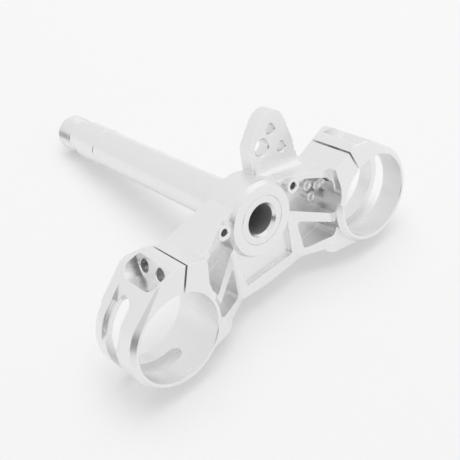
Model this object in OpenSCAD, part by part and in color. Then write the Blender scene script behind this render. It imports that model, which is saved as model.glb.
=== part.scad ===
// Lower triple clamp of a motorcycle fork with its steering stem pressed in.
// It lies as it rests: on the rear lower edges of both fork rings and on the stem's tip.
// The modules are drawn in clamp axes: X from fork to fork, Y towards the bike's rear,
// Z along the steering axis, 0 at the hub's lower face and negative towards the stem's tip.

/* [Fork rings] */
// distance between the two fork axes
fork_spacing = 178; // [166:0.5:200]
// fork axes ahead of the steering axis
fork_offset = 28; // [22:0.5:32]
// bore for the fork's outer tube
fork_bore_d = 60; // [56:0.1:62]
// wall of a fork ring
ring_wall = 5; // [4:0.1:6]
// how far the rings stand out below the hub's face
ring_front = 14.2; // [12:0.1:17]
// chamfer round the lower rim of a ring
rim_chamfer = 3; // [1:0.1:3.5]
// edge break at both ends of a bore
bore_chamfer = 0.5; // [0.2:0.1:1]

/* [Clamp slot between the two bands] */
// width of the slot round a ring
slot_w = 11.2; // [8:0.1:12]
// depth of the slot's near edge behind the hub's face
slot_start = 3.2; // [2:0.1:4]
// where the slot ends below the pinch boss, from straight outwards
slot_top_angle = 67.5; // [40:0.5:68]
// where the slot ends under the ring, from straight outwards
slot_low_angle = -106; // [-110:1:-80]
// depth of the recess milled round the slot's upper end
recess_depth = 2.2; // [1:0.1:2.6]
// how far the recess reaches past the slot on either side
recess_land = 3.9; // [2:0.1:4.5]

/* [Pinch bosses] */
// lean of the pinch slit towards the stem
slit_angle = 22; // [15:1:28]
// width of the pinch slit
slit_w = 1.6; // [1:0.1:3]
// height of the boss's flat top above the fork axis
boss_top = 48.3; // [46:0.1:52]
// height of the pinch bolts above the fork axis
bolt_rise = 39.1; // [37:0.1:41]
// distance between the two pinch bolts
bolt_pitch = 16; // [14:0.1:20]
// depth of the first pinch bolt behind the hub's face
bolt_start = -1.8; // [-4:0.1:0]
// clearance hole of a pinch bolt
bolt_hole_d = 8.6; // [8.4:0.1:9]
// tapped hole of a pinch bolt, at its minor diameter
bolt_tap_d = 6.8; // [6.6:0.1:7.2]
// distance of the heads' seat from the slit's middle
bolt_seat = 9.5; // [8:0.1:12]
// radius at both ends of the recess that holds the two bolt heads
head_recess_r = 8.6; // [7.6:0.1:8.8]
// how far that recess sits above the bolts
head_recess_rise = 2.5; // [1:0.1:3]
// how far that recess sits ahead of the bolts
head_recess_shift = 2.6; // [1:0.1:3]
// what is left of the rim chamfer at the top of the boss's flank
flank_chamfer = 1.2; // [0.6:0.1:2]

/* [Yoke body] */
// depth of the yoke from the hub's face to its rear plane
body_depth = 25.9; // [24:0.1:30]
// level of the middle plateau behind the hub's face
plateau = 3; // [2:0.1:4]
// level of the outer webs in front of the hub's face
web_front = 8; // [6:0.1:10]
// half width of the plateau, where the ramps start
ramp_start = 27.4; // [26:0.1:30]
// half width at the outer end of the ramps
ramp_end = 50.5; // [48:0.1:56]
// depth of the pocket floors behind the hub's face
pocket_floor = 9.5; // [8:0.1:16]
// depth of the middle panel behind the hub's face
panel_floor = 6.2; // [4:0.1:8]
// radius of the hub
hub_r = 26.4; // [25:0.1:28]
// chamfer round the hub's face
hub_chamfer = 2.1; // [0.5:0.1:3]
// lowest point of the lower rail below the steering axis
rail_drop = 51.2; // [50:0.1:54]

/* [Small bosses beside the hub] */
// half distance between the two tapped bosses
boss_x = 30.5; // [29:0.1:32]
// rise of the tapped bosses above the steering axis
boss_y = 8.9; // [8:0.1:10]
// outer diameter of a tapped boss
boss_d = 10.4; // [9:0.1:11]
// tapped hole of a boss, at its minor diameter
boss_tap_d = 5; // [4.2:0.1:6]
// depth of the tapped hole
boss_tap_depth = 14; // [8:0.1:18]

/* [Bracket lug] */
// thickness of the lug
lug_t = 9.6; // [7:0.1:11]
// big hole of the lug
lug_big_d = 11.2; // [9:0.1:12]
// two small holes of the lug
lug_small_d = 6.8; // [6:0.1:7.4]
// edge break on the lug's holes
lug_chamfer = 0.9; // [0.3:0.1:1.2]
// fillet between the lug's face and the arm below it
lug_fillet = 8; // [4:0.5:9]

/* [Steering stem] */
// length of the stem from the hub's face to its tip
stem_len = 233; // [200:1:260]
// bearing seats and tube
stem_d = 30; // [29:0.1:31]
// step from the bearing seats up to the pressed end in the hub
press_step = 2.2; // [1.5:0.05:3]
// wall of the stem at its bearing seats
stem_wall = 4.65; // [4:0.05:6]
// step from the bearing seats down to the thread's crests
thread_step = 1.2; // [0.8:0.05:2]
// length of the threaded tip
thread_len = 16; // [12:0.5:24]
// width of the relief behind the thread
relief_w = 11.5; // [4:0.5:14]
// depth of the relief under the thread's crests
relief_step = 0.8; // [0.6:0.05:1.4]
// length of the lower bearing seat
seat_len = 19; // [16:0.5:24]
// grinding relief between the hub and the lower bearing seat
seat_relief = 1.2; // [0.8:0.1:2]
// the plain tube is this much under the bearing seats
tube_under = 0.5; // [0.2:0.1:1]
// length of the upper bearing seat
upper_seat_len = 26; // [18:0.5:40]

/* [Hidden] */
$fn = 96;
eps = 0.02;
bore_r = fork_bore_d / 2;
ring_r = bore_r + ring_wall;
ring_x = fork_spacing / 2;
ring_c = [ring_x, -fork_offset];
slot_mid = -slot_start - slot_w / 2;
slot_end = -slot_start - slot_w;
bolt_mid = [-bolt_start, -bolt_start - bolt_pitch];
stem_press_d = stem_d + 2 * press_step;
stem_bore_d = stem_d - 2 * stem_wall;
thread_d = stem_d - 2 * thread_step;
relief_d = thread_d - 2 * relief_step;
tip_r = thread_d / 2;
tip_chamfer = 1;
rear_chamfer = 1.2;
rest_run = stem_len - tip_chamfer - body_depth + rear_chamfer;
rest_drop = fork_offset + ring_r - tip_r;
rest_tilt = atan(rest_drop / rest_run);
cut_top = 30;

// Outward angle of the straight edge that runs from one circle to the next, round a convex outline.
function edge_angle(a, b) = let(
    d = norm([b[0] - a[0], b[1] - a[1]]),
    th = atan2(b[1] - a[1], b[0] - a[0]))
    th - acos((a[2] - b[2]) / d);

// Arc round a circle from one outward angle to the next, in steps of about 15 degrees.
function arc(c, a0, a1) = let(
    turn = ((a1 - a0) % 360 + 360) % 360,
    n = max(1, ceil(turn / 15)))
    [for (i = [0:n]) [c[0] + c[2] * cos(a0 + turn * i / n), c[1] + c[2] * sin(a0 + turn * i / n)]];

// Convex outline wrapped round circles, each given as x, y and radius, anticlockwise.
function wrap(c) = let(n = len(c))
    [for (i = [0:n - 1])
        for (p = arc(c[i], edge_angle(c[(i + n - 1) % n], c[i]), edge_angle(c[i], c[(i + 1) % n])))
            p];

// Point where the edge from a circle touches a larger circle that comes before it.
function touch(big, small) = let(e = edge_angle(big, small))
    [big[0] + big[2] * cos(e), big[1] + big[2] * sin(e)];

// From clamp axes to the pose in which the part lies.
module lay() {
    rotate([90 - rest_tilt, 0, 0]) translate([0, 0, body_depth]) children();
}

module both() {
    children();
    mirror([1, 0, 0]) children();
}

// Axes of the right fork ring, turned so that Y runs up the pinch slit and X outwards.
module at_slit() {
    translate([ring_c[0], ring_c[1], 0]) rotate([0, 0, slit_angle]) children();
}

module slab(h0, h1) {
    translate([0, 0, h0]) linear_extrude(h1 - h0) children();
}

// Bar outline between the rings, right half and a little over the middle.
rail_foot = [48.6, -53.2, 1.6];
near_ring = [ring_c[0], ring_c[1], ring_r - 0.1];
foot_edge = edge_angle(rail_foot, near_ring);
foot_touch = [ring_c[0] + near_ring[2] * cos(foot_edge), ring_c[1] + near_ring[2] * sin(foot_edge)];
rail_end = 27.4;
rail_sag = 49.5;
rail_window = [31, 20];
rail_window_low = 60;
arm_top_in = [19.5, 18.2];
arm_top_out = [50, 12];
ramp_run = 200;

module arm_outline() {
    rail_r = (pow(rail_end, 2) + pow(rail_drop - rail_sag, 2)) / (2 * (rail_drop - rail_sag));
    polygon([[-1, 0], [-1, -49], [26, -49.3], [43.6, -50.2], [47.3, -54.4],
        [70, -50], ring_c, [62, 11], [56.3, 11.1], arm_top_out, [43, 13.7],
        [36.5, 15.1], [31, 16.1], [25.7, 16.9], arm_top_in, [-1, 20]]);
    intersection() {
        translate([0, rail_r - rail_drop]) circle(rail_r, $fn = 360);
        translate([-1, -rail_window_low]) square(rail_window);
    }
    polygon(concat(arc(rail_foot, foot_edge - 60, foot_edge), [foot_touch, ring_c, [50, -40]]));
}

// Bar seen from above: the ramps between the plateau and the outer webs.
module ramp_prism() {
    rotate([90, 0, 0]) linear_extrude(ramp_run, center = true)
        polygon([[-1, -body_depth], [ring_x, -body_depth], [ring_x, web_front],
            [ramp_end, web_front], [ramp_start, -plateau], [-1, -plateau]]);
}

// Outer half of the pinch boss with its rounded flank.
jaw_flank = [12.3, 34.3, 8.4];
jaw_corner = [5.6, boss_top - 2, 2];

module outer_jaw_outline() {
    ring = [0, 0, ring_r - 0.1];
    flank = jaw_flank;
    corner = jaw_corner;
    polygon(concat([[-0.5, 0], touch(ring, flank)],
        arc(flank, edge_angle(ring, flank), edge_angle(flank, corner)),
        arc(corner, edge_angle(flank, corner), 90), [[-0.5, boss_top]]));
}

// Plane chamfer on a front edge that starts at a point and faces an angle outwards.
module edge_cut(at, facing, run, c0, c1) {
    translate([at[0], at[1], ring_front]) rotate([0, 0, facing + 90]) rotate([45, 0, 0])
        translate([0, 0, -c0 / sqrt(2)]) rotate([0, -atan((c0 - c1) / run / sqrt(2)), 0])
            translate([-0.4, -12, 0]) cube([run + 0.8, 24, 8]);
}

// The rim chamfer of the ring runs on up the boss's flank and gets smaller there.
module flank_cut() {
    ring = [0, 0, ring_r];
    flank = jaw_flank;
    fa = edge_angle(ring, flank);
    fb = edge_angle(flank, jaw_corner);
    run = sqrt(pow(norm([flank[0], flank[1]]), 2) - pow(ring_r - flank[2], 2));
    on_flank = [flank[0] + flank[2] * cos(fb), flank[1] + flank[2] * sin(fb)];
    edge_cut(touch(ring, flank), fa, run, rim_chamfer, flank_chamfer);
    edge_cut(on_flank, fb, 14.5, flank_chamfer, flank_chamfer * 0.8);
    translate([flank[0], flank[1], ring_front]) rotate([0, 0, fa]) rotate_extrude(angle = fb - fa)
        polygon([[flank[2] - flank_chamfer - 1, 1], [flank[2] + 2, -flank_chamfer - 2], [flank[2] + 2, 1]]);
}

module inner_jaw_outline() {
    polygon([[-15.6, boss_top], [0.5, boss_top], [0.5, 0], [-20, 0], [-26, 23.4],
        [-22.4, 27.4], [-19.7, 31.4], [-18.4, 35.2], [-17.7, 39.5]]);
}

module ring_solid() {
    translate([ring_c[0], ring_c[1], 0]) rotate_extrude()
        polygon([[0, -body_depth], [ring_r - rear_chamfer, -body_depth],
            [ring_r, -body_depth + rear_chamfer], [ring_r, ring_front - rim_chamfer],
            [ring_r - rim_chamfer, ring_front], [0, ring_front]]);
}

module ring_bore() {
    translate([ring_c[0], ring_c[1], 0]) rotate_extrude()
        polygon([[0, -body_depth - 1], [bore_r + bore_chamfer + 1, -body_depth - 1],
            [bore_r + bore_chamfer, -body_depth - eps], [bore_r, -body_depth + bore_chamfer],
            [bore_r, ring_front - bore_chamfer], [bore_r + bore_chamfer, ring_front + eps],
            [bore_r + bore_chamfer + 1, ring_front + 1], [0, ring_front + 1]]);
}

// Slot between the two clamp bands, with round ends.
module ring_slot() {
    half = asin(slot_w / 2 / ring_r);
    a0 = slot_low_angle + half;
    a1 = slot_top_angle - half;
    translate([ring_c[0], ring_c[1], 0]) {
        rotate([0, 0, a0]) rotate_extrude(angle = a1 - a0)
            translate([bore_r - 3, slot_end + eps]) square([ring_wall + 9, slot_w - 2 * eps]);
        for (a = [a0, a1]) rotate([0, 0, a]) translate([bore_r - 3, 0, slot_mid])
            rotate([0, 90, 0]) cylinder(r = slot_w / 2, h = ring_wall + 9);
    }
}

// Recess round the slot's upper end: an arc with a straight run-out at both ends.
recess_a0 = 20;
recess_a1 = 57;
recess_rise = tan(21);

module ring_recess() {
    floor_r = ring_r - recess_depth;
    wide = slot_w + 2 * recess_land;
    translate([ring_c[0], ring_c[1], slot_mid - wide / 2]) {
        rotate([0, 0, recess_a0]) rotate_extrude(angle = recess_a1 - recess_a0)
            translate([floor_r, 0]) square([9, wide]);
        rotate([0, 0, recess_a0]) linear_extrude(wide)
            polygon([[floor_r, 0.01], [floor_r + 6, 0.01], [floor_r + 6, -9], [floor_r + 9 * recess_rise, -9]]);
        rotate([0, 0, recess_a1]) linear_extrude(wide)
            polygon([[floor_r, -0.01], [floor_r + 8, -0.01], [floor_r + 8, 15], [floor_r + 15 * recess_rise, 15]]);
    }
}

module pinch_cuts() {
    at_slit() {
        translate([-slit_w / 2, 0, -60]) cube([slit_w, boss_top + 5, 100]);
        for (z = bolt_mid) translate([0, bolt_rise, z]) rotate([0, 90, 0]) {
            cylinder(d = bolt_hole_d, h = 40);
            translate([0, 0, bolt_seat - 0.6])
                cylinder(d1 = bolt_hole_d, d2 = bolt_hole_d + 1.4, h = 0.7);
            translate([0, 0, -34]) cylinder(d = bolt_tap_d, h = 35);
        }
        // Recess with round ends for both bolt heads.
        translate([bolt_seat, 0, 0]) rotate([90, 0, 90]) linear_extrude(40)
            polygon(wrap([for (z = [bolt_mid[1], bolt_mid[0]])
                [bolt_rise + head_recess_rise, z + head_recess_shift, head_recess_r]]));
        // Bevel at the rear end of the flat top.
        translate([0, boss_top, -body_depth + 5.6]) rotate([45, 0, 0])
            translate([-15.2, -9, -6]) cube([48, 9.5, 6]);
    }
}

module upper_pocket() {
    difference() {
        polygon(wrap([[27.4, -7.6, 2.5], [57, -22.3, 2.5], [54.9, -2.2, 3], [51, 3.4, 3],
            [39, 7.6, 3], [28, 3, 2]]));
        translate(ring_c) circle(ring_r);
        circle(hub_r);
        translate([boss_x, boss_y]) circle(d = boss_d);
    }
}

module lower_pocket() {
    difference() {
        polygon(wrap([[31.6, -23.2, 2.2], [33.4, -40.9, 2.6], [49.4, -35.8, 5.6], [52, -32.8, 2.6]]));
        translate(ring_c) circle(ring_r);
    }
}

module panel() {
    difference() {
        polygon(wrap([[-21, -14, 2], [-19.4, -40.4, 2], [19.4, -40.4, 2], [21, -14, 2]]));
        circle(hub_r);
    }
}

// Bracket lug on the right of the hub, with a big hole and two small ones.
big_hole = [23.9, 36.5];
top_hole = [33.8, 45.4];
side_hole = [40, 29.2];

module lug_outline() {
    polygon(wrap([[18, 17, 6], [44.5, 11, 6], [side_hole[0], side_hole[1], 10],
        [34.2, 46, 12], [big_hole[0] - 0.4, big_hole[1] - 0.3, 10.4]]));
}

// Fillet that rises from the arm's upper face to the lug's front face.
lug_foot_run = 37;
lug_foot_before = 6;
lug_foot_sunk = [2.5, 1];
lug_foot_cut = 2;

module lug_foot() {
    lean = atan2(arm_top_out[1] - arm_top_in[1], arm_top_out[0] - arm_top_in[0]);
    translate([arm_top_in[0], arm_top_in[1], -body_depth + lug_t]) rotate([0, 0, lean]) rotate([90, 0, 90])
        difference() {
            translate([0, 0, -lug_foot_before]) linear_extrude(lug_foot_run) translate(-lug_foot_sunk)
                square([lug_fillet + lug_foot_sunk[0], lug_fillet + lug_foot_sunk[1]]);
            translate([lug_fillet, lug_fillet, -lug_foot_before - lug_foot_cut])
                cylinder(r = lug_fillet, h = lug_foot_run + lug_foot_before + lug_foot_cut / 2);
        }
}

module yoke_solid() {
    both() {
        intersection() {
            slab(-body_depth, web_front) arm_outline();
            ramp_prism();
        }
        ring_solid();
        at_slit() slab(-body_depth, ring_front - eps) outer_jaw_outline();
        at_slit() slab(-body_depth, ring_front - eps) inner_jaw_outline();
        translate([boss_x, boss_y, -pocket_floor - 1]) cylinder(d = boss_d, h = pocket_floor + 1);
    }
    rotate_extrude() polygon([[0, -body_depth], [hub_r - 1, -body_depth],
        [hub_r, -body_depth + 1], [hub_r, -hub_chamfer * 1.4], [hub_r - hub_chamfer, 0], [0, 0]]);
    slab(-body_depth, -body_depth + lug_t) lug_outline();
    lug_foot();
}

module yoke() color("silver") lay() difference() {
    yoke_solid();
    both() {
        ring_bore();
        ring_slot();
        ring_recess();
        pinch_cuts();
        at_slit() flank_cut();
        slab(-pocket_floor, cut_top) upper_pocket();
        slab(-pocket_floor, cut_top) lower_pocket();
        translate([boss_x, boss_y, -boss_tap_depth]) {
            cylinder(d = boss_tap_d, h = boss_tap_depth + 1);
            translate([0, 0, boss_tap_depth - 0.6])
                cylinder(d1 = boss_tap_d, d2 = boss_tap_d + 2, h = 1);
        }
    }
    both() translate([boss_x, boss_y, 0]) cylinder(d = boss_d + 0.6, h = 8);
    slab(-panel_floor, cut_top) panel();
    translate([0, 0, -body_depth - 1]) cylinder(d = stem_press_d, h = body_depth + 2);
    for (q = [[big_hole, lug_big_d], [top_hole, lug_small_d], [side_hole, lug_small_d]])
        translate([q[0][0], q[0][1], -body_depth]) {
            translate([0, 0, -1]) cylinder(d = q[1], h = lug_t + 2);
            translate([0, 0, lug_t - lug_chamfer])
                cylinder(d1 = q[1], d2 = q[1] + 2 * lug_chamfer + 0.2, h = lug_chamfer + 0.1);
            translate([0, 0, -0.1])
                cylinder(d2 = q[1], d1 = q[1] + 2 * lug_chamfer + 0.2, h = lug_chamfer + 0.1);
        }
}

module steering_stem() color("gainsboro") lay() rotate_extrude() polygon([
    [stem_bore_d / 2, -2.2], [stem_bore_d / 2 + 1.8, 0], [stem_press_d / 2 - 0.5, 0],
    [stem_press_d / 2, -0.5], [stem_press_d / 2, -body_depth],
    [stem_d / 2 - 0.3, -body_depth], [stem_d / 2 - 0.3, -body_depth - seat_relief + 0.3],
    [stem_d / 2, -body_depth - seat_relief], [stem_d / 2, -body_depth - seat_len],
    [stem_d / 2 - tube_under, -body_depth - seat_len - tube_under],
    [stem_d / 2 - tube_under, -stem_len + thread_len + relief_w + upper_seat_len + tube_under],
    [stem_d / 2, -stem_len + thread_len + relief_w + upper_seat_len],
    [stem_d / 2, -stem_len + thread_len + relief_w + 1.2],
    [stem_d / 2 - 1.2, -stem_len + thread_len + relief_w],
    [relief_d / 2, -stem_len + thread_len + relief_w],
    [relief_d / 2, -stem_len + thread_len + 0.8],
    [tip_r, -stem_len + thread_len],
    [tip_r, -stem_len + tip_chamfer],
    [tip_r - tip_chamfer, -stem_len],
    [stem_bore_d / 2 + 1, -stem_len],
    [stem_bore_d / 2, -stem_len + 1]]);

yoke();
steering_stem();
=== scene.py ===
import math

import bmesh
import bpy
import numpy as np
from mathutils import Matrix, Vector


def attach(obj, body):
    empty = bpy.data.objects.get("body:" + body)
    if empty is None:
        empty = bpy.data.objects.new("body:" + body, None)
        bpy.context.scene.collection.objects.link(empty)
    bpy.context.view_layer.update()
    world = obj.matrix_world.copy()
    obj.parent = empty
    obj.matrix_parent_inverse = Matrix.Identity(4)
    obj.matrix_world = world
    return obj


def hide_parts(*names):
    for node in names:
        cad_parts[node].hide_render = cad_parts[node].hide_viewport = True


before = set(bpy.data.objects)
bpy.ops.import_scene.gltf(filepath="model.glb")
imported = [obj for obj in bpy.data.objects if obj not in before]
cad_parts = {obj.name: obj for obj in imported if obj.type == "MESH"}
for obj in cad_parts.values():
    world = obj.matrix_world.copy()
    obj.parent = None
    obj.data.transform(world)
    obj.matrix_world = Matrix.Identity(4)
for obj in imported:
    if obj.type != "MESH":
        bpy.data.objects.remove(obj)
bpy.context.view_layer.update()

mm = 0.001
samePoint = 0.001 * mm  # vertices closer than this are one

# The clamp lies on its rings and its tip, so the steering axis falls by tiltDeg towards +Y.
# The row's origin is on that axis at the yoke's rear, bodyDepth mm behind the hub's face.
lay = {"tiltDeg": 13.3514, "bodyDepth": 25.9}

faceWeight = 80  # for weighted normals: 50 is neutral, and more lets the large faces set them


def toRow(points):
    # x across, y along the stem from the hub's face and z up, in mm, turned by the tilt and given in metres
    c, s = math.cos(math.radians(lay["tiltDeg"])), math.sin(math.radians(lay["tiltDeg"]))
    x, y, z = points[..., 0], points[..., 1] - lay["bodyDepth"], points[..., 2]
    return np.stack([x, y * c + z * s, z * c - y * s], axis=-1) * mm


def addMesh(name, verts, quads):
    # a piece at the origin, from any grid of vertices and of quads that name them
    mesh = bpy.data.meshes.new(name)
    mesh.from_pydata(verts.reshape(-1, 3).tolist(), [], quads.reshape(-1, 4).tolist())
    mesh.update()
    piece = bpy.data.objects.new(name, mesh)
    bpy.context.scene.collection.objects.link(piece)
    return piece


def ringQuads(starts, nextStarts, steps):
    # quads from each ring to the next one, closed round the ring; a ring is given by its first vertex
    near, far = starts[:, None], nextStarts[:, None]
    step = np.arange(steps)
    turned = (step + 1) % steps
    return np.stack([near + step, far + step, far + turned, near + turned], axis=-1)


def smoothShade(piece, sharpDeg):
    # smooth, apart from edges that turn by more than sharpDeg
    mesh = piece.data
    mesh.polygons.foreach_set("use_smooth", np.ones(len(mesh.polygons), bool))
    mesh.set_sharp_from_angle(angle=math.radians(sharpDeg))
    weigh = piece.modifiers.new("flat faces stay flat", "WEIGHTED_NORMAL")
    weigh.keep_sharp = True
    weigh.weight = faceWeight


# metal

metal = {
    "bevelSamples": 8,
    "grainDetail": 3.0, "grainRoughness": 0.6,
    "cloudDetail": 4.0, "cloudRoughness": 0.55, "cloudRange": (0.3, 0.7),
    "edgeHighlightCos": (0.995, 0.86),  # cosine from face to rounded normal, where the painted edge highlight starts and is full
}


def link(tree, giver, outName, taker, inName):
    tree.links.new(giver.outputs[outName], taker.inputs[inName])


def node(tree, kind, **settings):
    # a setting goes to the socket of that name, or else to the node's own property
    n = tree.nodes.new(kind)
    for key, value in settings.items():
        if key in n.inputs:
            n.inputs[key].default_value = value
        else:
            setattr(n, key, value)
    return n


def ramp(tree, source, outName, fromEnds, toEnds):
    # straight line from one pair of ends to the other, held outside them
    n = node(tree, "ShaderNodeMapRange")
    n.inputs["From Min"].default_value, n.inputs["From Max"].default_value = fromEnds
    n.inputs["To Min"].default_value, n.inputs["To Max"].default_value = toEnds
    link(tree, source, outName, n, "Value")
    return n


def mixColors(tree, factor, outName, first, second):
    # first at factor 0 and second at factor 1; each is a colour or an earlier mix
    n = node(tree, "ShaderNodeMix", data_type="RGBA")
    link(tree, factor, outName, n, "Factor")
    for slot, value in (("A", first), ("B", second)):
        if isinstance(value, tuple):
            n.inputs[slot].default_value = (*value, 1)
        else:
            link(tree, value, "Result", n, slot)
    return n


def makeMetal(name, look):
    # satin aluminium: grain as bump, roughness = clouds between two values + edgeGloss x the edge mask, and a
    # lighter base colour on edges as a painted highlight
    mat = bpy.data.materials.new(name)
    mat.use_nodes = True
    tree = mat.node_tree
    shader = tree.nodes["Principled BSDF"]
    shader.inputs["Metallic"].default_value = look["metallic"]
    coords = node(tree, "ShaderNodeTexCoord")
    place = node(tree, "ShaderNodeMapping", Scale=look["grainStretch"],
                 Rotation=(math.radians(lay["tiltDeg"]), 0, 0))
    link(tree, coords, "Object", place, "Vector")

    grain = node(tree, "ShaderNodeTexNoise", Scale=look["grainScale"],
                 Detail=metal["grainDetail"], Roughness=metal["grainRoughness"])
    link(tree, place, "Vector", grain, "Vector")
    cloud = node(tree, "ShaderNodeTexNoise", Scale=look["cloudScale"],
                 Detail=metal["cloudDetail"], Roughness=metal["cloudRoughness"])
    link(tree, coords, "Object", cloud, "Vector")

    rounded = node(tree, "ShaderNodeBevel", samples=metal["bevelSamples"], Radius=look["edgeRadius"])
    bump = node(tree, "ShaderNodeBump", Strength=look["grainStrength"], Distance=look["grainDepth"])
    link(tree, grain, "Fac", bump, "Height")
    link(tree, rounded, "Normal", bump, "Normal")
    link(tree, bump, "Normal", shader, "Normal")

    # how far a widely rounded normal turns away from the face tells where an edge is; edges get a painted
    # highlight in the base colour and more gloss
    geometry = node(tree, "ShaderNodeNewGeometry")
    wide = node(tree, "ShaderNodeBevel", samples=metal["bevelSamples"], Radius=look["edgeHighlightRadius"])
    turn = node(tree, "ShaderNodeVectorMath", operation="DOT_PRODUCT")
    link(tree, wide, "Normal", turn, 0)
    link(tree, geometry, "Normal", turn, 1)
    edgeHighlight = ramp(tree, turn, "Value", metal["edgeHighlightCos"], (0, 1))

    gloss = ramp(tree, cloud, "Fac", metal["cloudRange"], look["roughness"])
    roughness = node(tree, "ShaderNodeMath", operation="MULTIPLY_ADD")
    roughness.inputs[1].default_value = look["edgeGloss"]
    link(tree, edgeHighlight, "Result", roughness, 0)
    link(tree, gloss, "Result", roughness, 2)
    link(tree, roughness, 0, shader, "Roughness")

    # painted highlight: the base colour turns lighter along the edges
    tone = mixColors(tree, edgeHighlight, "Result", look["color"], look["edgeHighlightColor"])
    link(tree, tone, "Result", shader, "Base Color")
    return mat


# yoke

yokeLook = {
    # the lighter edge colour is a painted highlight on rounded edges
    "color": (0.91, 0.91, 0.912), "edgeHighlightColor": (0.99, 0.99, 0.992),
    "roughness": (0.26, 0.33), "edgeGloss": -0.12, "metallic": 0.88,
    "edgeRadius": 0.35 * mm, "edgeHighlightRadius": 1.0 * mm,
    "grainScale": 3800.0, "grainStretch": (1, 1, 1), "grainStrength": 0.15, "grainDepth": 0.02 * mm,
    "cloudScale": 55.0,
}


def mergedCopy(name, source):
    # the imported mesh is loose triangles, so equal corners become one vertex and each keeps its own normal
    mesh = source.data
    verts = np.empty((len(mesh.vertices), 3))
    mesh.vertices.foreach_get("co", verts.reshape(-1))
    corners = np.empty((len(mesh.polygons), 3), int)
    mesh.loops.foreach_get("vertex_index", corners.reshape(-1))
    normals = np.empty((len(mesh.polygons), 3, 3))
    mesh.corner_normals.foreach_get("vector", normals.reshape(-1))
    cells = np.round(verts / samePoint)
    _, first, same = np.unique(cells, axis=0, return_index=True, return_inverse=True)
    tris = same.reshape(-1)[corners]
    whole = (tris != np.roll(tris, 1, axis=1)).all(axis=1)  # its three corners are still three points
    skin = bpy.data.meshes.new(name)
    skin.from_pydata(verts[first].tolist(), [], tris[whole].tolist())
    skin.update()
    skin.polygons.foreach_set("use_smooth", np.ones(len(skin.polygons), bool))
    skin.normals_split_custom_set(normals[whole].reshape(-1, 3).tolist())
    piece = bpy.data.objects.new(name, skin)
    bpy.context.scene.collection.objects.link(piece)
    return piece


yokeSkin = mergedCopy("yokeSkin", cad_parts["yoke"])
yokeSkin.data.materials.append(makeMetal("satin aluminium", yokeLook))
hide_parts("yoke")
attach(yokeSkin, "root")
print("yoke: merged skin with", len(yokeSkin.data.polygons), "faces")

# round seats on the floor of the right upper pocket

seatSize = {
    "centres": ((47.1, -2.3), (56.1, -6.7), (48.9, -12.4)),  # across and up from the steering axis
    "floorY": 9.5, "topY": 5.0, "sunk": 0.3,
    "rimR": 2.8, "rimRound": 1.5, "innerDeg": -40,
    "around": 48, "arcSteps": 14, "sharpDeg": 40,
}


def roundSeats(size):
    # half a section, turned round each centre: flat dimple, arc from innerDeg to 90 over the rim, and foot
    t = np.radians(np.linspace(size["innerDeg"], 90, size["arcSteps"]))
    rimR = size["rimR"] + size["rimRound"] * np.sin(t)
    rimY = size["topY"] + size["rimRound"] * (1 - np.cos(t))
    footY = size["floorY"] + size["sunk"]
    r = np.concatenate([[0], rimR, [rimR[-1], 0]])[:, None]
    y = np.concatenate([rimY[:1], rimY, [footY, footY]])[:, None]
    angle = np.linspace(0, 2 * np.pi, size["around"], endpoint=False)
    centres = np.array(size["centres"])[:, None, None, :]
    x = centres[..., 0] + r * np.cos(angle)
    z = centres[..., 1] + r * np.sin(angle)
    rings = np.arange(len(centres) * len(r)).reshape(len(centres), len(r)) * size["around"]
    quads = ringQuads(rings[:, :-1].reshape(-1), rings[:, 1:].reshape(-1), size["around"])
    return toRow(np.stack([x, np.broadcast_to(y, x.shape), z], axis=-1)), quads


def closePoles(piece):
    # each pole's vertices become one, and all faces turn outwards
    shape = bmesh.new()
    shape.from_mesh(piece.data)
    bmesh.ops.remove_doubles(shape, verts=shape.verts, dist=samePoint)
    bmesh.ops.recalc_face_normals(shape, faces=shape.faces)
    shape.to_mesh(piece.data)
    shape.free()


seats = addMesh("pocketSeats", *roundSeats(seatSize))
closePoles(seats)
seats.data.materials.append(yokeSkin.data.materials[0])
smoothShade(seats, seatSize["sharpDeg"])
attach(seats, "root")
print("seats:", len(seatSize["centres"]), "in the right upper pocket")

# steering stem

stem = {
    "length": 233.0, "pressR": 17.2, "seatR": 15.0, "tubeR": 14.5, "boreR": 10.35,
    "pressChamfer": 0.5, "mouthWide": 1.8, "mouthDeep": 2.2,
    "seatLen": 19.0, "seatRelief": 1.2, "seatReliefDeep": 0.3,
    "upperSeatLen": 26.0, "shoulderChamfer": 1.2, "tipChamfer": 1.0,
    "reliefR": 13.0, "reliefW": 11.5, "reliefRunOut": 0.8,
    "threadR": 13.8, "threadLen": 16.0, "threadPitch": 1.0, "threadDepth": 0.6,
    "crestShare": 0.12,  # of half a pitch, flat at the crest and at the root
    "around": 144, "stepsPerTurn": 10, "fadeSteps": 8, "sharpDeg": 27,
    "boreStrip": -2,  # the strip of faces along the bore is the last but one of the outline
    "turned": {
        # the lighter edge colour is a painted highlight on rounded edges
        "color": (0.895, 0.895, 0.90), "edgeHighlightColor": (0.97, 0.97, 0.972),
        "roughness": (0.24, 0.30), "edgeGloss": -0.08, "metallic": 0.9,
        "edgeRadius": 0.35 * mm, "edgeHighlightRadius": 0.5 * mm,
        "grainScale": 1.0, "grainStretch": (60, 5200, 60), "grainStrength": 0.12, "grainDepth": 0.02 * mm,
        "cloudScale": 40.0,
    },
    "drilled": {  # the inside is only drilled, so it is rougher; its darker colour is painted shade for the deep bore, and its lighter edge colour a painted highlight
        "color": (0.42, 0.42, 0.425), "edgeHighlightColor": (0.60, 0.60, 0.605),
        "roughness": (0.55, 0.70), "edgeGloss": -0.10, "metallic": 0.35,
        "edgeRadius": 0.35 * mm, "edgeHighlightRadius": 0.5 * mm,
        "grainScale": 1.0, "grainStretch": (60, 1800, 60), "grainStrength": 0.4, "grainDepth": 0.05 * mm,
        "cloudScale": 60.0,
    },
}


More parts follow.
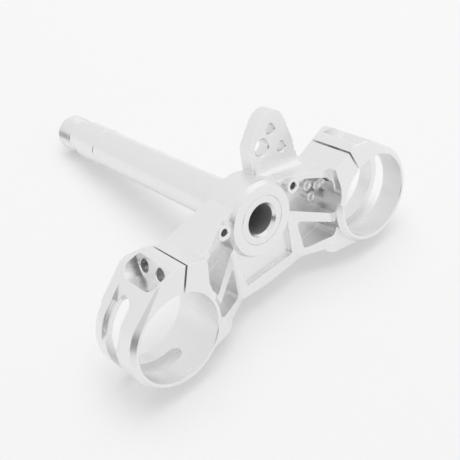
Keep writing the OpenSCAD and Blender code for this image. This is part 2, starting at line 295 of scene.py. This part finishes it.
def stemProfile(size):
    # outline of half a section, from the hub's face along to the tip and back through the bore, as distance
    # along the axis and radius; also the thread's first row and the row after its last
    tip, rear = size["length"], lay["bodyDepth"]
    pressR, seatR, tubeR, boreR = size["pressR"], size["seatR"], size["tubeR"], size["boreR"]
    groove, shoulder = size["seatReliefDeep"], size["shoulderChamfer"]
    threadStart = tip - size["threadLen"]
    reliefStart = threadStart - size["reliefW"]
    upperStart = reliefStart - size["upperSeatLen"]
    lowerStart, lowerEnd = rear + size["seatRelief"], rear + size["seatLen"]
    head = [
        (0, boreR + size["mouthWide"]), (0, pressR - size["pressChamfer"]), (size["pressChamfer"], pressR),
        (rear, pressR), (rear, seatR - groove), (lowerStart - groove, seatR - groove), (lowerStart, seatR),
        (lowerEnd, seatR), (lowerEnd + seatR - tubeR, tubeR), (upperStart - seatR + tubeR, tubeR),
        (upperStart, seatR), (reliefStart - shoulder, seatR), (reliefStart, seatR - shoulder),
        (reliefStart, size["reliefR"]), (threadStart - size["reliefRunOut"], size["reliefR"]),
    ]
    turnedLen = size["threadLen"] - size["tipChamfer"]
    rows = round(turnedLen / size["threadPitch"] * size["stepsPerTurn"]) + 1
    thread = [(threadStart + t, size["threadR"]) for t in np.linspace(0, turnedLen, rows)]
    tail = [
        (tip, size["threadR"] - size["tipChamfer"]), (tip, boreR + size["tipChamfer"]),
        (tip - size["tipChamfer"], boreR), (size["mouthDeep"], boreR),
    ]
    return np.array(head + thread + tail), len(head), len(head) + rows


def turnedStem(size):
    # radius = outline - thread's depth x wave, where wave is a V of (distance / pitch - angle / full turn)
    # that is flat at its ends and fades in and out over fadeSteps rows
    profile, first, last = stemProfile(size)
    angle = np.linspace(0, 2 * np.pi, size["around"], endpoint=False)
    along = np.repeat(profile[:, :1], size["around"], axis=1)
    phase = (along / size["threadPitch"] - angle / (2 * np.pi)) % 1.0
    wave = np.clip((np.abs(2 * phase - 1) - size["crestShare"]) / (1 - 2 * size["crestShare"]), 0, 1)
    row = np.arange(len(profile))[:, None]
    fade = np.clip(np.minimum(row - first, last - 1 - row) / size["fadeSteps"], 0, 1)
    radius = profile[:, 1:] - size["threadDepth"] * wave * fade
    rings = np.arange(len(profile)) * size["around"]
    quads = ringQuads(rings, np.roll(rings, -1), size["around"])
    return toRow(np.stack([radius * np.cos(angle), along, radius * np.sin(angle)], axis=-1)), quads


stemVerts, stemQuads = turnedStem(stem)
stemSkin = addMesh("stemSkin", stemVerts, stemQuads)
stemSkin.data.materials.append(makeMetal("turned aluminium", stem["turned"]))
stemSkin.data.materials.append(makeMetal("drilled aluminium with painted shade", stem["drilled"]))
# the bore's faces take the second material, whose darker colour is painted shade
inBore = np.zeros(len(stemQuads), int)
inBore[stem["boreStrip"]] = 1
stemSkin.data.polygons.foreach_set("material_index", np.repeat(inBore, stem["around"]))
smoothShade(stemSkin, stem["sharpDeg"])
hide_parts("steering_stem")
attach(stemSkin, "root")
print("stem: turned skin with", len(stemSkin.data.polygons), "faces")

# studio

studio = {
    "floorZ": -61.02 * mm, "floorHalf": 4.0,
    "floorColor": (0.70, 0.70, 0.70), "floorGlow": 0.305,
    "backdrop": (0.90, 0.90, 0.905),
    "room": (0.85, 0.85, 0.852), "fill": (0.50, 0.50, 0.502), "darkZone": (0.09, 0.09, 0.092),
    "darkTowards": (-0.80, -0.57, 0.10), "darkCos": (0.89, 0.98),
    "soft": [
        {"at": (0.34, 0.34, 2.55), "size": 2.2, "watts": 31.0, "mirrored": False},
        {"at": (0.9, 0.1, 1.2), "size": 1.6, "watts": 1.2, "mirrored": True},
    ],
}


def addFloor(look):
    # matte, with a glow that only the camera and reflections see, so it is pale and keeps the shadow
    half, z = look["floorHalf"], look["floorZ"]
    verts = np.array([(-half, -half, z), (half, -half, z), (half, half, z), (-half, half, z)])
    floor = addMesh("floor", verts, np.array([[0, 1, 2, 3]]))
    mat = bpy.data.materials.new("pale floor")
    mat.use_nodes = True
    tree = mat.node_tree
    tree.nodes.remove(tree.nodes["Principled BSDF"])
    matte = node(tree, "ShaderNodeBsdfDiffuse", Color=(*look["floorColor"], 1))
    rays = node(tree, "ShaderNodeLightPath")
    seen = node(tree, "ShaderNodeMath", operation="MAXIMUM")
    link(tree, rays, "Is Camera Ray", seen, 0)
    link(tree, rays, "Is Glossy Ray", seen, 1)
    amount = node(tree, "ShaderNodeMath", operation="MULTIPLY")
    amount.inputs[1].default_value = look["floorGlow"]
    link(tree, seen, 0, amount, 0)
    glow = node(tree, "ShaderNodeEmission")
    link(tree, amount, 0, glow, "Strength")
    both = node(tree, "ShaderNodeAddShader")
    link(tree, matte, 0, both, 0)
    link(tree, glow, 0, both, 1)
    link(tree, both, 0, tree.nodes["Material Output"], "Surface")
    floor.data.materials.append(mat)


def addRoom(look):
    # reflections see a pale room with one darker stretch of wall, the camera sees the backdrop,
    # and matte surfaces get the lower fill, so the large softbox's shadow shows
    world = bpy.data.worlds.new("studio")
    bpy.context.scene.world = world
    world.use_nodes = True
    tree = world.node_tree
    coords = node(tree, "ShaderNodeTexCoord")
    towards = node(tree, "ShaderNodeVectorMath", operation="DOT_PRODUCT")
    towards.inputs[1].default_value = Vector(look["darkTowards"]).normalized()
    link(tree, coords, "Generated", towards, 0)
    dark = ramp(tree, towards, "Value", look["darkCos"], (0, 1))
    dark.interpolation_type = "SMOOTHSTEP"
    rays = node(tree, "ShaderNodeLightPath")
    wall = mixColors(tree, dark, "Result", look["room"], look["darkZone"])
    shown = mixColors(tree, rays, "Is Camera Ray", wall, look["backdrop"])
    lit = mixColors(tree, rays, "Is Diffuse Ray", shown, look["fill"])
    link(tree, lit, "Result", tree.nodes["Background"], "Color")
    world.cycles.sampling_method = "NONE"  # its light differs by kind of ray, so no map of it is sampled


def addSoftboxes(look):
    # square lamps aimed at the origin; one that isn't mirrored lights the metal without a highlight
    for i, box in enumerate(look["soft"]):
        lamp = bpy.data.lights.new(f"softbox{i}", "AREA")
        lamp.shape = "SQUARE"
        lamp.size, lamp.energy = box["size"], box["watts"]
        holder = bpy.data.objects.new(f"softbox{i}", lamp)
        holder.visible_glossy = box["mirrored"]
        holder.location = box["at"]
        holder.rotation_euler = (-Vector(box["at"])).to_track_quat("-Z", "Y").to_euler()
        bpy.context.scene.collection.objects.link(holder)


addFloor(studio)
addRoom(studio)
addSoftboxes(studio)
bpy.context.scene.view_settings.view_transform = "Standard"
print("studio: floor, room and", len(studio["soft"]), "softboxes")

# camera

view = {
    "at": (-0.26272, -0.29930, 0.37971),
    "turnDeg": (44.8194, 2.2363, -42.8350),
    "lens": 64.89, "sensor": 36, "clip": (0.01, 50),
}
camera = bpy.data.cameras.new("camera")
camera.lens, camera.sensor_width, camera.sensor_fit = view["lens"], view["sensor"], "HORIZONTAL"
camera.clip_start, camera.clip_end = view["clip"]
cameraHolder = bpy.data.objects.new("camera", camera)
cameraHolder.location = view["at"]
cameraHolder.rotation_euler = [math.radians(v) for v in view["turnDeg"]]
bpy.context.scene.collection.objects.link(cameraHolder)
bpy.context.scene.camera = cameraHolder
print("camera: lens", view["lens"], "mm")
